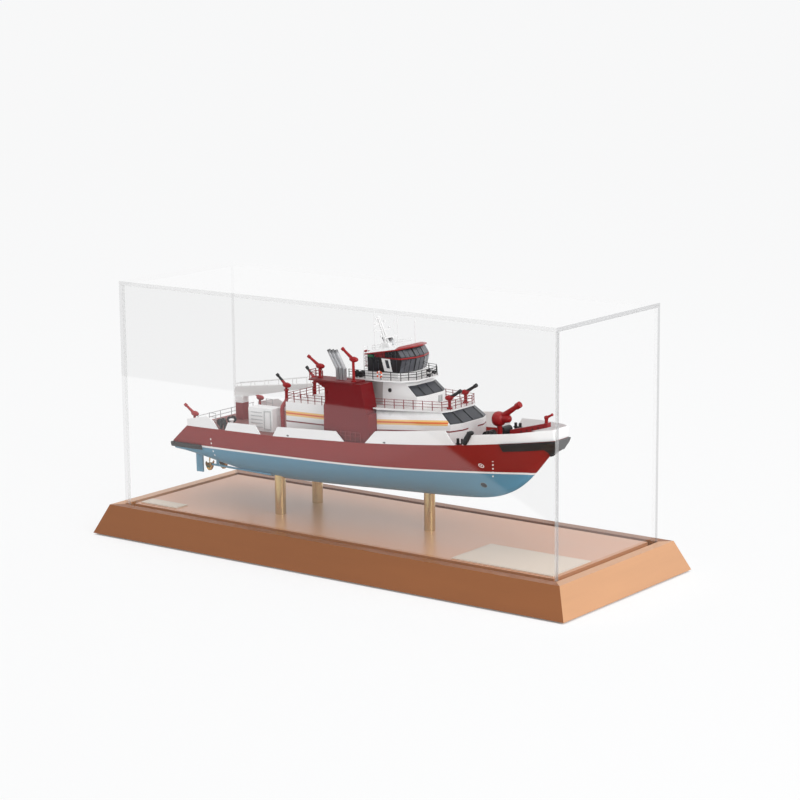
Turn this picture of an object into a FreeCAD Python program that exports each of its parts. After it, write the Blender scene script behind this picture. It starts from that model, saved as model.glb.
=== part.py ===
import FreeCAD, Part
import math
import os
import types

import Sketcher
from FreeCAD import Placement, Rotation, Vector

# A table-top display case: a sloped wooden plinth, a lift-off acrylic cover and a
# fire-boat model standing on three brass posts. Millimetres, +X to the bow, +Y to
# the back, +Z up, origin on the table under the middle of the plinth.

doc = FreeCAD.newDocument("display_case")
sheet = doc.addObject("Spreadsheet::Sheet", "sizes")

SIZES = [
    # clear cover
    ("cover_length", 610.0),
    ("cover_width", 204.6),
    ("cover_height", 267.2),
    ("cover_sheet", 4.75),
    # plinth
    ("plinth_height", 33.6),
    ("ledge_width", 13.15),
    ("slope_run", 14.5),
    ("channel_depth", 6.0),
    ("channel_gap_outer", 1.0),
    ("channel_gap_inner", 3.0),
    ("deck_lip", 12.0),
    ("floor_sheet", 5.0),
    ("floor_rebate", 8.0),
    ("pad_diameter", 16.0),
    ("pad_height", 2.0),
    ("pad_inset", 24.0),
    # label plates
    ("plate_sheet", 1.2),
    ("title_length", 131.0),
    ("title_width", 75.0),
    ("title_gap_end", 4.5),
    ("title_gap_front", 5.4),
    ("note_length", 56.0),
    ("note_width", 20.0),
    ("note_gap_end", 3.2),
    ("note_gap_front", 7.5),
    # posts
    ("post_diameter", 12.7),
    ("post_length", 46.7),
    ("post_spread", 34.4),
    ("post_aft", 122.0),
    ("post_forward", 68.0),
    ("screw_diameter", 4.0),
    ("screw_bite", 10.0),
    ("nut_diameter", 8.0),
    ("nut_height", 3.2),
    # ship
    ("keel_clearance", 42.2),
    ("ship_trim", 1.35),
    ("hull_length", 508.0),
    ("hull_beam", 133.0),
    ("deck_rise", 60.0),
    ("foredeck_rise", 72.0),
    ("deck_sheet", 1.2),
    ("bulwark_sheet", 1.5),
    ("aft_house_length", 65.0),
    ("aft_house_rise", 37.5),
    ("house_width", 96.0),
    ("house_rise", 40.3),
    ("upper_width", 64.0),
    ("upper_rise", 28.1),
    ("wheelhouse_width", 53.0),
    ("wheelhouse_rise", 25.6),
    ("house_deck_sheet", 1.6),
    ("roof_rise", 3.6),
    ("pane_sheet", 0.6),
    ("casing_width", 22.0),
    ("casing_rise", 69.0),
    ("exhaust_diameter", 4.4),
    ("rail_rise", 10.6),
    ("rail_bar", 0.65),
    ("pedestal_width", 11.0),
    ("pedestal_rise", 28.0),
    ("crane_width", 8.0),
    ("riser_diameter", 4.0),
    ("riser_rise", 49.0),
    ("locker_length", 36.0),
    ("locker_width", 18.0),
    ("locker_rise", 27.0),
    ("fender_sheet", 2.5),
    ("propeller_radius", 7.0),
    ("shaft_diameter", 2.4),
    ("rudder_length", 10.0),
    ("rudder_sheet", 2.0),
    ("mast_headroom", 13.0),
    ("whip_diameter", 0.9),
]
for row, (alias, number) in enumerate(SIZES, start=1):
    sheet.set("A%d" % row, alias)
    sheet.set("B%d" % row, str(number))
    sheet.setAlias("B%d" % row, alias)
doc.recompute()


class Size:
    """A length from the sheet, or a sum of them: its number and its expression."""

    def __init__(self, number, text):
        self.number = float(number)
        self.text = text

    def __float__(self):
        return self.number

    def __add__(self, other):
        other = sized(other)
        return Size(self.number + other.number, "(%s + %s)" % (self.text, other.text))

    def __sub__(self, other):
        other = sized(other)
        return Size(self.number - other.number, "(%s - %s)" % (self.text, other.text))

    def __mul__(self, other):
        other = sized(other)
        return Size(self.number * other.number, "(%s * %s)" % (self.text, other.text))

    def __truediv__(self, other):
        other = sized(other)
        return Size(self.number / other.number, "(%s / %s)" % (self.text, other.text))

    def __neg__(self):
        return sized(0) - self

    def __radd__(self, other):
        return sized(other) + self

    def __rsub__(self, other):
        return sized(other) - self

    def __rmul__(self, other):
        return sized(other) * self


def sized(thing):
    if isinstance(thing, Size):
        return thing
    return Size(thing, repr(float(thing)))


mm = types.SimpleNamespace(**{alias: Size(sheet.get(alias), "sizes." + alias) for alias, _ in SIZES})

plinth_length = mm.cover_length + 2 * (mm.ledge_width + mm.slope_run)
plinth_width = mm.cover_width + 2 * (mm.ledge_width + mm.slope_run)
deck_length = mm.cover_length - 2 * (mm.cover_sheet + mm.channel_gap_inner)
deck_width = mm.cover_width - 2 * (mm.cover_sheet + mm.channel_gap_inner)
deck_top = mm.pad_height + mm.plinth_height
channel_floor = deck_top - mm.channel_depth
keel_height = deck_top + mm.keel_clearance

pieces = []


def named(obj, label):
    obj.Label = label
    pieces.append(obj)
    return obj


def bind(obj, prop, size):
    obj.setExpression(prop, sized(size).text)


def put(obj, x=0, y=0, z=0):
    """Stands a piece in the case's frame."""
    for axis, size in zip("xyz", (x, y, z)):
        bind(obj, "Placement.Base." + axis, size)


def aboard(obj, x=0, y=0, z=0):
    """Stands a piece in the ship's frame, which the posts hold a little bow-up."""
    x, y, z = sized(x), sized(y), sized(z)
    obj.Placement = Placement(Vector(), Rotation(Vector(0, -1, 0), float(mm.ship_trim)))
    bind(obj, "Placement.Rotation.Angle", mm.ship_trim)
    cosine = "cos(%s)" % mm.ship_trim.text
    sine = "sin(%s)" % mm.ship_trim.text
    obj.setExpression("Placement.Base.x", "%s * %s - %s * %s" % (x.text, cosine, z.text, sine))
    bind(obj, "Placement.Base.y", y)
    obj.setExpression(
        "Placement.Base.z", "%s + %s * %s + %s * %s" % (keel_height.text, x.text, sine, z.text, cosine)
    )


def block(name, length, width, height):
    box = doc.addObject("Part::Box", name)
    bind(box, "Length", length)
    bind(box, "Width", width)
    bind(box, "Height", height)
    return box


def cylinder(name, diameter, height):
    rod = doc.addObject("Part::Cylinder", name)
    bind(rod, "Radius", diameter / 2)
    bind(rod, "Height", height)
    return rod


def gathered(label, members):
    """Puts identical separate solids in one node."""
    group = doc.addObject("Part::Compound", label)
    group.Links = members
    return named(group, label)


def formed(label, shape):
    """A piece with a free form, worked out from the sheet's sizes."""
    feature = doc.addObject("Part::Feature", label)
    feature.Shape = shape
    return named(feature, label)


def outline_sketch(body, plane, outline, name):
    """Draws a closed outline whose corners are held at sizes from the sheet."""
    sketch = body.newObject("Sketcher::SketchObject", name)
    face = next(part for part in body.Origin.OriginFeatures if part.Role == plane)
    sketch.AttachmentSupport = [(face, "")]
    sketch.MapMode = "FlatFace"
    corners = [(sized(a), sized(b)) for a, b in outline]
    count = len(corners)
    for index, (a, b) in enumerate(corners):
        c, d = corners[(index + 1) % count]
        line = Part.LineSegment(Vector(float(a), float(b), 0), Vector(float(c), float(d), 0))
        sketch.addGeometry(line, False)
    for index in range(count):
        sketch.addConstraint(Sketcher.Constraint("Coincident", index, 2, (index + 1) % count, 1))
    for index, corner in enumerate(corners):
        for kind, own_axis, size in zip(("DistanceX", "DistanceY"), (-2, -1), corner):
            if abs(float(size)) < 1e-9:
                sketch.addConstraint(Sketcher.Constraint("PointOnObject", index, 1, own_axis))
                continue
            datum = sketch.addConstraint(Sketcher.Constraint(kind, -1, 1, index, 1, float(size)))
            bind(sketch, "Constraints[%d]" % datum, size)
    return sketch


def padded(label, plane, outline, depth):
    """A prism: an outline on one of the body's planes, given a depth."""
    body = named(doc.addObject("PartDesign::Body", label), label)
    pad = body.newObject("PartDesign::Pad", label + "_pad")
    pad.Profile = outline_sketch(body, plane, outline, label + "_outline")
    bind(pad, "Length", depth)
    doc.recompute()
    return body


def cut_through(body, plane, outline, name):
    """Cuts an outline right through a body, upwards from its plane."""
    before = body.Shape.Volume
    pocket = body.newObject("PartDesign::Pocket", name)
    pocket.Profile = outline_sketch(body, plane, outline, name + "_outline")
    pocket.Type = "ThroughAll"
    pocket.Reversed = True
    doc.recompute()
    if body.Shape.Volume > before - 1:
        raise RuntimeError(name + " removed nothing")


# Plinth: four mitred rails of one section. Each has the sloped face outside, the
# flat ledge, the channel that the cover stands in, a lip that carries the deck
# panel and a rebate underneath for the floor board.
channel_wall = mm.slope_run + mm.ledge_width - mm.channel_gap_outer
channel_width = mm.channel_gap_outer + mm.cover_sheet + mm.channel_gap_inner
rail_depth = channel_wall + channel_width + mm.deck_lip
seat = mm.plinth_height - mm.channel_depth
RAIL_SECTION = [
    (0, 0),
    (mm.slope_run, mm.plinth_height),
    (channel_wall, mm.plinth_height),
    (channel_wall, seat),
    (rail_depth, seat),
    (rail_depth, mm.floor_sheet),
    (rail_depth - mm.floor_rebate, mm.floor_sheet),
    (rail_depth - mm.floor_rebate, 0),
]


def base_rail(label, run, turn, x, y):
    body = padded(label, "YZ_Plane", RAIL_SECTION, run)
    reach = rail_depth + 2
    cut_through(body, "XY_Plane", [(0, 0), (reach, reach), (0, reach)], label + "_mitre_near")
    cut_through(body, "XY_Plane", [(run, 0), (run, reach), (run - reach, reach)], label + "_mitre_far")
    body.Placement = Placement(Vector(), Rotation(Vector(0, 0, 1), turn))
    put(body, x, y, mm.pad_height)


base_rail("base_rail_front", plinth_length, 0, -plinth_length / 2, -plinth_width / 2)
base_rail("base_rail_back", plinth_length, 180, plinth_length / 2, plinth_width / 2)
base_rail("base_rail_right", plinth_width, 90, plinth_length / 2, -plinth_width / 2)
base_rail("base_rail_left", plinth_width, 270, -plinth_length / 2, plinth_width / 2)

# Floor board, let into the rails' rebate from below.
floor_inset = rail_depth - mm.floor_rebate
floor = named(
    block("base_floor", plinth_length - 2 * floor_inset, plinth_width - 2 * floor_inset, mm.floor_sheet),
    "base_floor",
)
put(floor, floor_inset - plinth_length / 2, floor_inset - plinth_width / 2, mm.pad_height)

# Four felt pads under the corners leave the thin shadow under the plinth.
pads = []
for index, (right, back) in enumerate(((-1, -1), (1, -1), (1, 1), (-1, 1)), start=1):
    pad = cylinder("foot_pad_%d" % index, mm.pad_diameter, mm.pad_height)
    put(pad, right * (plinth_length / 2 - mm.pad_inset), back * (plinth_width / 2 - mm.pad_inset), 0)
    pads.append(pad)
gathered("foot_pads", pads)

# Where the three posts stand, and how long their screws are.
POSTS = {
    "post_aft_starboard": (-mm.post_aft, -mm.post_spread),
    "post_aft_port": (-mm.post_aft, mm.post_spread),
    "post_forward": (mm.post_forward, sized(0)),
}
screw_start = channel_floor - mm.nut_height - 1
screw_length = deck_top + mm.post_length + mm.screw_bite - screw_start

# Deck panel, flush with the ledge, drilled for the three post screws.
deck_board = block("deck_board", deck_length, deck_width, mm.channel_depth)
put(deck_board, -deck_length / 2, -deck_width / 2, channel_floor)
drills = []
for label, (x, y) in POSTS.items():
    drill = cylinder(label + "_drill", mm.screw_diameter, mm.channel_depth + 2)
    put(drill, x, y, channel_floor - 1)
    drills.append(drill)
deck_holes = doc.addObject("Part::Compound", "deck_holes")
deck_holes.Links = drills
deck_panel = doc.addObject("Part::Cut", "deck_panel")
deck_panel.Base = deck_board
deck_panel.Tool = deck_holes
named(deck_panel, "deck_panel")

# Brass posts: tubes round a long screw, with a nut under the deck panel.
screws = []
nuts = []
for label, (x, y) in POSTS.items():
    wall = cylinder(label + "_wall", mm.post_diameter, mm.post_length)
    bore = cylinder(label + "_bore", mm.screw_diameter, mm.post_length + 2)
    put(bore, 0, 0, -1)
    post = doc.addObject("Part::Cut", label)
    post.Base = wall
    post.Tool = bore
    put(named(post, label), x, y, deck_top)
    screw = cylinder(label + "_screw", mm.screw_diameter, screw_length)
    put(screw, x, y, screw_start)
    screws.append(screw)
    hexagon = doc.addObject("Part::Prism", label + "_hexagon")
    hexagon.Polygon = 6
    bind(hexagon, "Circumradius", mm.nut_diameter / 2)
    bind(hexagon, "Height", mm.nut_height)
    tapped = cylinder(label + "_tapped", mm.screw_diameter, mm.nut_height + 2)
    put(tapped, 0, 0, -1)
    nut = doc.addObject("Part::Cut", label + "_nut")
    nut.Base = hexagon
    nut.Tool = tapped
    put(nut, x, y, channel_floor - mm.nut_height)
    nuts.append(nut)
gathered("post_screws", screws)
gathered("post_nuts", nuts)

# Two flat label plates lie on the deck, a large one by the bow and a small one aft.
title = block("label_plate_title", mm.title_length, mm.title_width, mm.plate_sheet)
named(title, "label_plate_title")
title_end = deck_length / 2 - mm.title_gap_end
put(title, title_end - mm.title_length, mm.title_gap_front - deck_width / 2, deck_top)
note = block("label_plate_note", mm.note_length, mm.note_width, mm.plate_sheet)
named(note, "label_plate_note")
put(note, mm.note_gap_end - deck_length / 2, mm.note_gap_front - deck_width / 2, deck_top)

# Clear cover: five bonded sheets, the top laid over the walls and the long walls
# over the ends of the short ones. It only stands in the channel.
wall_height = mm.channel_depth + mm.cover_height - mm.cover_sheet
end_width = mm.cover_width - 2 * mm.cover_sheet
half_length = mm.cover_length / 2
half_width = mm.cover_width / 2
front = named(block("cover_front", mm.cover_length, mm.cover_sheet, wall_height), "cover_front")
put(front, -half_length, -half_width, channel_floor)
back = named(block("cover_back", mm.cover_length, mm.cover_sheet, wall_height), "cover_back")
put(back, -half_length, half_width - mm.cover_sheet, channel_floor)
left = named(block("cover_left", mm.cover_sheet, end_width, wall_height), "cover_left")
put(left, -half_length, -end_width / 2, channel_floor)
right = named(block("cover_right", mm.cover_sheet, end_width, wall_height), "cover_right")
put(right, half_length - mm.cover_sheet, -end_width / 2, channel_floor)
top = named(block("cover_top", mm.cover_length, mm.cover_width, mm.cover_sheet), "cover_top")
put(top, -half_length, -half_width, channel_floor + wall_height)

# Hull lines in the ship's frame: z = 0 on the keel, x = 0 under the middle of the
# case. A station is its x, the keel's height, the bilge (y, z), the waterline (y, z),
# the half breadths at the sheer and high above it, and the sheer's height.
TALL = 112.0
KNOTS = [0.0, 0.24, 0.5, 0.7, 1.0]
STATIONS = [
    (-262, 26, (50, 28), (61, 36.5), 64.0, 64.5, 60),
    (-230, 21, (49, 23), (62.5, 36.5), 65.5, 66.0, 60),
    (-195, 12, (46, 15), (63.5, 36.5), 66.5, 66.5, 60),
    (-150, 3, (43, 9), (64, 36.5), 66.5, 66.5, 60),
    (-95, 0, (40, 8), (64, 36.5), 66.5, 66.5, 60),
    (-30, 0, (36, 8), (63, 36.5), 66.5, 66.5, 62.3),
    (35, 0, (27, 8), (57.5, 36.5), 66.0, 67.0, 64.9),
    (95, 0.5, (16, 8), (44, 36.5), 62.5, 66.0, 68.3),
    (145, 3, (8, 11), (27.5, 36.5), 53.5, 60.0, 71.2),
    (185, 15, (4.5, 21), (14, 39), 42.0, 50.0, 74.1),
    (218, 43, (4, 48), (12.5, 58), 29.0, 37.0, 76.4),
    (246, 70, (6, 71), (10, 73.5), 13.5, 18.0, 78.4),
]
SHEER = [(-270, 60), (-100, 60), (20, 64), (150, 71.5), (262, 79.6)]
along = float(mm.hull_length) / 508.0
across = float(mm.hull_beam) / 133.0
upward = float(mm.deck_rise) / 60.0


def hull_form(offset=0.0):
    """The hull's lines carried up past the bulwarks, let out by an offset."""
    wires = []
    for x, keel, bilge, waterline, sheer, high, sheer_rise in STATIONS:
        half = [(1.0, keel), bilge, waterline, (sheer, sheer_rise), (high, TALL)]
        end = offset if x > 240 else -offset if x < -250 else 0.0
        points = [Vector(x * along + end, max(y * across + offset, 0.4), z * upward) for y, z in half]
        points[0].z -= offset
        mirrored = [Vector(p.x, -p.y, p.z) for p in reversed(points)]
        sides = []
        for run, knots in ((points, KNOTS), (mirrored, [1 - knot for knot in reversed(KNOTS)])):
            curve = Part.BSplineCurve()
            curve.interpolate(Points=run, Parameters=knots)
            sides.append(curve.toShape())
        lid = Part.makeLine(points[-1], mirrored[0])
        keelson = Part.makeLine(mirrored[-1], points[0])
        wires.append(Part.Wire([sides[0], lid, sides[1], keelson]))
    return Part.makeLoft(wires, True, False)


def side_prism(outline, half=120.0):
    """An outline in the ship's side view, carried right across it."""
    corners = [Vector(x * along, -half, z * upward) for x, z in outline]
    face = Part.Face(Part.makePolygon(corners + corners[:1]))
    return face.extrude(Vector(0, 2 * half, 0))


def sheer_rise_at(x):
    for (x_a, z_a), (x_b, z_b) in zip(SHEER, SHEER[1:]):
        if x <= x_b:
            return z_a + (z_b - z_a) * (x - x_a) / (x_b - x_a)
    return SHEER[-1][1]


def sheer_between(start, stop, drop=0.0):
    inner = [(x, z - drop) for x, z in SHEER if start < x < stop]
    return [(start, sheer_rise_at(start) - drop)] + inner + [(stop, sheer_rise_at(stop) - drop)]


lines = hull_form()
within = hull_form(-float(mm.bulwark_sheet))
ship_frame = Placement(
    Vector(0, 0, float(keel_height)), Rotation(Vector(0, -1, 0), float(mm.ship_trim))
)
to_ship = ship_frame.inverse().toMatrix()

# Hull: one block with a raked transom, a well for each deck and sockets for the posts.
sheer_line = sheer_between(-236, 262)[::-1]
below_sheer = side_prism([(-270, -5), (262, -5)] + sheer_line + [(-264, 38), (-270, 38)])
hull_shape = lines.common(below_sheer)
deck_floor = float(mm.deck_rise - mm.deck_sheet)
fore_floor = float(mm.foredeck_rise - mm.deck_sheet)
MAIN_WELL = (-232.0 * along, 148.0 * along)
FORE_WELL = (150.0 * along, 241.0 * along)


def well(span, floor_rise, shell, rise):
    start, stop = span
    box = Part.makeBox(stop - start, 200, rise, Vector(start, -100, floor_rise))
    return shell.common(box)


hull_shape = hull_shape.cut(well(MAIN_WELL, deck_floor, within, 60))
hull_shape = hull_shape.cut(well(FORE_WELL, fore_floor, within, 60))
for x, y in POSTS.values():
    socket = Part.makeCylinder(float(mm.post_diameter) / 2, 30, Vector(float(x), float(y), 0))
    socket.translate(Vector(0, 0, float(deck_top + mm.post_length) - 30))
    hole = Part.makeCylinder(float(mm.screw_diameter) / 2, 40, Vector(float(x), float(y), 0))
    hole.translate(Vector(0, 0, float(deck_top + mm.post_length + mm.screw_bite) - 40))
    for tool in (socket, hole):
        hull_shape = hull_shape.cut(tool.transformed(to_ship))
aboard(formed("hull", hull_shape))

# Decks let into the wells, a hair clear of the hull's sides.
lining = hull_form(-float(mm.bulwark_sheet) - 0.2)
aboard(formed("main_deck", well(MAIN_WELL, deck_floor, lining, float(mm.deck_sheet))))
aboard(formed("fore_deck", well(FORE_WELL, fore_floor, lining, float(mm.deck_sheet))))

# Bulwarks: thin plating along the sheer, in runs with freeing gaps between.
RUNS = [
    sheer_between(-235.5, -187) + [(-194, 69), (-204, 74), (-235.5, 68)],
    sheer_between(-176, -123) + [(-131, 70), (-171, 69.4)],
    sheer_between(-104, -1) + [(-12, 74), (-97, 71)],
    sheer_between(29, 143) + [(138, 88.5), (45, 79.5)],
    sheer_between(152, 262) + [(262, 90.5), (240, 90.5), (212, 87.5), (178, 85.5), (158, 84)],
]
runs = []
for outline in RUNS:
    runs += lines.common(side_prism(outline)).cut(within).Solids
aboard(formed("bulwarks", Part.makeCompound(runs)))

# Rubber fenders: a band round the bow with a knee at the stem, and a strip round the transom.
bumper = hull_form(float(mm.fender_sheet))
band = sheer_between(193, 262, 0.6) + [(262, 52), (236, 52), (232, 67), (193, 65)]
aboard(formed("bow_fender", Part.makeCompound(bumper.common(side_prism(band)).cut(lines).Solids)))
quarter = [(-270, 32.5), (-216, 32.5), (-216, 38), (-270, 38)]
aboard(formed("stern_fender", Part.makeCompound(bumper.common(side_prism(quarter)).cut(lines).Solids)))

# Deckhouses: plan outlines at successive heights, symmetrical about the centre line.


def tiers(levels):
    shells = []
    wires = []
    for height, half in levels:
        heights = height if isinstance(height, (list, tuple)) else [height] * len(half)
        corners = [Vector(x, y, z) for (x, y), z in zip(half, heights)]
        corners += [Vector(corner.x, -corner.y, corner.z) for corner in reversed(corners)]
        wires.append(Part.makePolygon(corners + corners[:1]))
    for lower, upper in zip(wires, wires[1:]):
        shells.append(Part.makeLoft([lower, upper], True, True))
    solid = shells[0]
    for shell in shells[1:]:
        solid = solid.fuse(shell)
    return solid.removeSplitter()


def panes(facet, count, low, high, margin):
    """Flat panes laid on a facet given by its lower and upper edges."""
    lower_a, lower_b, upper_a, upper_b = [Vector(*corner) for corner in facet]
    normal = (lower_b - lower_a).cross(upper_a - lower_a)
    normal.normalize()
    lift = normal * float(mm.pane_sheet)
    glazing = []
    for index in range(count):
        first = margin + (1 - 2 * margin) * (index + 0.05) / count
        last = margin + (1 - 2 * margin) * (index + 0.95) / count
        corners = []
        for u, v in ((first, low), (last, low), (last, high), (first, high)):
            bottom = lower_a + (lower_b - lower_a) * u
            peak = upper_a + (upper_b - upper_a) * u
            corners.append(bottom + (peak - bottom) * v)
        raised = [corner + lift for corner in corners]
        face_a = Part.makePolygon(corners + corners[:1])
        face_b = Part.makePolygon(raised + raised[:1])
        glazing.append(Part.makeLoft([face_a, face_b], True, True))
    return glazing


def swept(x, half, nose_half, sweep):
    """The front half of a plan: a corner, then a facet swept forward to a flat nose."""
    return [(x, half), (x + sweep * (half - nose_half), nose_half)]


def front_panes(low, high, span, margin=0.03):
    """A pane on each swept facet and two on the nose, between two tiers of a house."""
    (z_a, (side_a, nose_a)), (z_b, (side_b, nose_b)) = low, high
    glazing = []
    for side in (-1, 1):
        order = (0, 1) if side < 0 else (1, 0)
        facet = [((side_a, nose_a)[index], z_a) for index in order]
        facet += [((side_b, nose_b)[index], z_b) for index in order]
        corners = [(x, side * y, z) for (x, y), z in facet]
        glazing += panes(corners, 1, span[0], span[1], margin)
    nose = [(nose_a[0], side * nose_a[1], z_a) for side in (-1, 1)]
    nose += [(nose_b[0], side * nose_b[1], z_b) for side in (-1, 1)]
    return glazing + panes(nose, 2, span[0], span[1], margin)


deck = float(mm.deck_rise)
house_half = float(mm.house_width) / 2
casing_inner = house_half - 8
house_top = deck + float(mm.house_rise)
boat_deck_top = house_top + float(mm.house_deck_sheet)
upper_half = float(mm.upper_width) / 2
upper_top = boat_deck_top + float(mm.upper_rise)
bridge_top = upper_top + float(mm.house_deck_sheet)
wheel_half = float(mm.wheelhouse_width) / 2

# Low after house behind the casings.
after = named(block("aft_house", mm.aft_house_length, mm.house_width, mm.aft_house_rise), "aft_house")
aboard(after, -33 - mm.aft_house_length, -mm.house_width / 2, mm.deck_rise)

# Main house, narrow between the casings, its sides drawn in to a raked and faceted front.
WAIST = [(-33, casing_inner), (33, casing_inner), (33, house_half)]
sill = house_top - 12
main_sill = swept(124.3, house_half - 13.7, house_half - 27.3, 0.47)
main_head = swept(109.3, house_half - 17.8, house_half - 27.8, 0.47)
main_levels = [
    (deck, WAIST + swept(122.3, house_half - 12.5, house_half - 27.1, 0.47)),
    (sill, WAIST + main_sill),
    (house_top, WAIST + main_head),
]
aboard(formed("main_house", tiers(main_levels)))
main_lights = front_panes((sill, main_sill), (house_top, main_head), (0.05, 0.92))
aboard(formed("main_house_panes", Part.makeCompound(main_lights)))
lip = house_half + 1
boat_front = swept(111.5, lip - 17, lip - 27.5, 0.47)
boat_plan = [(-33, casing_inner), (29, casing_inner), (29, lip)] + boat_front
aboard(formed("boat_deck", tiers([(house_top, boat_plan), (boat_deck_top, boat_plan)])))

# Upper house on the boat deck.
upper_sill = boat_deck_top + 12
upper_foot = swept(72.9, upper_half - 4.7, upper_half - 15.1, 0.41)
upper_edge = swept(73.9, upper_half - 4.7, upper_half - 15.1, 0.41)
upper_head = swept(55.2, upper_half - 6.7, upper_half - 15.7, 0.41)
upper_levels = [
    (boat_deck_top, [(-10, upper_half)] + upper_foot),
    (upper_sill, [(-10, upper_half)] + upper_edge),
    (upper_top, [(-10, upper_half)] + upper_head),
]
aboard(formed("upper_house", tiers(upper_levels)))
upper_lights = front_panes((upper_sill, upper_edge), (upper_top, upper_head), (0.05, 0.66))
aboard(formed("upper_house_panes", Part.makeCompound(upper_lights)))
bridge_half = casing_inner - 0.3
bridge_plan = [(-14, bridge_half), (33, bridge_half), (58, bridge_half - 4.7), (70, bridge_half - 19.7)]
aboard(formed("bridge_deck", tiers([(upper_top, bridge_plan), (bridge_top, bridge_plan)])))

# Wheelhouse: the lower windows lean out to a knuckle, the upper ones lean back to a
# roof that rises forward. Each row of panes is laid on the flat facets.
eave_aft = bridge_top + float(mm.wheelhouse_rise)
knuckle = eave_aft - 2.4
roof_pitch = 0.17
eave_side = eave_aft + roof_pitch * 40.5
lean = (eave_side - knuckle) / 6.5


def eave_at(x):
    return eave_aft + roof_pitch * (x - 6)


nose_x = (53 + 7 - (eave_aft - 6 * roof_pitch - knuckle) / lean) / (1 + roof_pitch / lean)
foot_plan = [(6, wheel_half), (47, wheel_half), (54, 8)]
knuckle_plan = [(6, wheel_half), (53, wheel_half), (60, 8)]
eave_plan = [(6, wheel_half), (46.5, wheel_half), (nose_x, 8)]
eave_heights = [eave_at(x) for x, _ in eave_plan]
wheel_levels = [(bridge_top, foot_plan), (knuckle, knuckle_plan), (eave_heights, eave_plan)]
aboard(formed("wheelhouse", tiers(wheel_levels)))


def corner_at(plan, heights, index, side):
    x, y = plan[index]
    return (x, side * y, heights[index])


rows = [
    (foot_plan, [bridge_top] * 3, knuckle_plan, [knuckle] * 3, (0.33, 0.94)),
    (knuckle_plan, [knuckle] * 3, eave_plan, eave_heights, (0.14, 0.86)),
]
wheel_panes = []
for low_plan, low_heights, high_plan, high_heights, (bottom, peak) in rows:
    for side in (-1, 1):
        order = (1, 2) if side < 0 else (2, 1)
        facet = [corner_at(low_plan, low_heights, index, side) for index in order]
        facet += [corner_at(high_plan, high_heights, index, side) for index in order]
        wheel_panes += panes(facet, 3, bottom, peak, 0.03)
    facet = [(low_plan[2][0], y, low_heights[2]) for y in (-8, 8)]
    facet += [(high_plan[2][0], y, high_heights[2]) for y in (-8, 8)]
    wheel_panes += panes(facet, 2, bottom, peak, 0.03)
SIDE_LIGHTS = [
    ((7.5, 22), bridge_top + 8, knuckle - 1.5, knuckle - 1.5, 2),
    ((38, 47.5), bridge_top + 8, knuckle - 1.5, knuckle - 1.5, 1),
    ((10, 46), knuckle + 0.6, eave_at(10) - 0.6, eave_at(46) - 0.6, 4),
]
for (aft, fore), low, high_aft, high_fore, count in SIDE_LIGHTS:
    for side in (-1, 1):
        order = ((aft, high_aft), (fore, high_fore))[::-side]
        facet = [(x, side * wheel_half, low) for x, _ in order]
        facet += [(x, side * wheel_half, high) for x, high in order]
        wheel_panes += panes(facet, count, 0.0, 1.0, 0.0)
aboard(formed("wheelhouse_panes", Part.makeCompound(wheel_panes)))
roof_plan = [(3, wheel_half + 2), (48.5, wheel_half + 2), (57.5, 9)]
crown_plan = [(7, wheel_half - 4), (45, wheel_half - 4), (51.5, 6)]
edge = 0.4 * float(mm.roof_rise)
roof_levels = [
    ([eave_at(x) for x, _ in roof_plan], roof_plan),
    ([eave_at(x) + edge for x, _ in roof_plan], roof_plan),
    ([eave_at(x) + float(mm.roof_rise) for x, _ in crown_plan], crown_plan),
]
aboard(formed("wheelhouse_roof", tiers(roof_levels)))


def roof_at(x):
    return eave_at(x) + float(mm.roof_rise)


# Funnel casings each side, with a platform on top and a bent exhaust.
casing_outline = [
    (-32, 0),
    (32.5, 0),
    (32.5, 0.52 * mm.casing_rise),
    (28.5, 0.52 * mm.casing_rise),
    (22, mm.casing_rise),
    (-20, mm.casing_rise),
    (-31, 0.6 * mm.casing_rise),
]
platforms = []
exhausts = []
platform_top = mm.deck_rise + mm.casing_rise + 1.6
casing_edge = mm.house_width / 2 - 8
for side, word in ((-1, "starboard"), (1, "port")):
    casing = padded("casing_" + word, "XZ_Plane", casing_outline, mm.casing_width)
    inner = casing_edge + mm.casing_width if side > 0 else -casing_edge
    aboard(casing, 0, inner, mm.deck_rise)
    platform = block("platform_" + word, 62, mm.casing_width + 2, 1.6)
    platform_side = casing_edge if side > 0 else -casing_edge - mm.casing_width - 2
    aboard(platform, -50, platform_side, mm.deck_rise + mm.casing_rise)
    platforms.append(platform)
    middle = side * (casing_edge + mm.casing_width / 2)
    for index in range(3):
        trunk = cylinder("exhaust_trunk_%s_%d" % (word, index), mm.exhaust_diameter, 13)
        pipe = cylinder("exhaust_pipe_%s_%d" % (word, index), mm.exhaust_diameter, 24)
        pipe.Placement = Placement(Vector(0, 0, 12), Rotation(Vector(0, 1, 0), -30))
        exhaust = doc.addObject("Part::Fuse", "exhaust_%s_%d" % (word, index))
        exhaust.Base = trunk
        exhaust.Tool = pipe
        aboard(exhaust, -18 + index * (mm.exhaust_diameter + 0.6), middle, platform_top)
        exhausts.append(exhaust)
gathered("casing_platforms", platforms)
gathered("exhausts", exhausts)


def beam(start, stop, thick):
    """A square bar between two points."""
    start, stop = Vector(*start), Vector(*stop)
    span = stop - start
    bar = Part.makeBox(thick, thick, span.Length, Vector(-thick / 2, -thick / 2, 0))
    bar.Placement = Placement(start, Rotation(Vector(0, 0, 1), span))
    return bar


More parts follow.
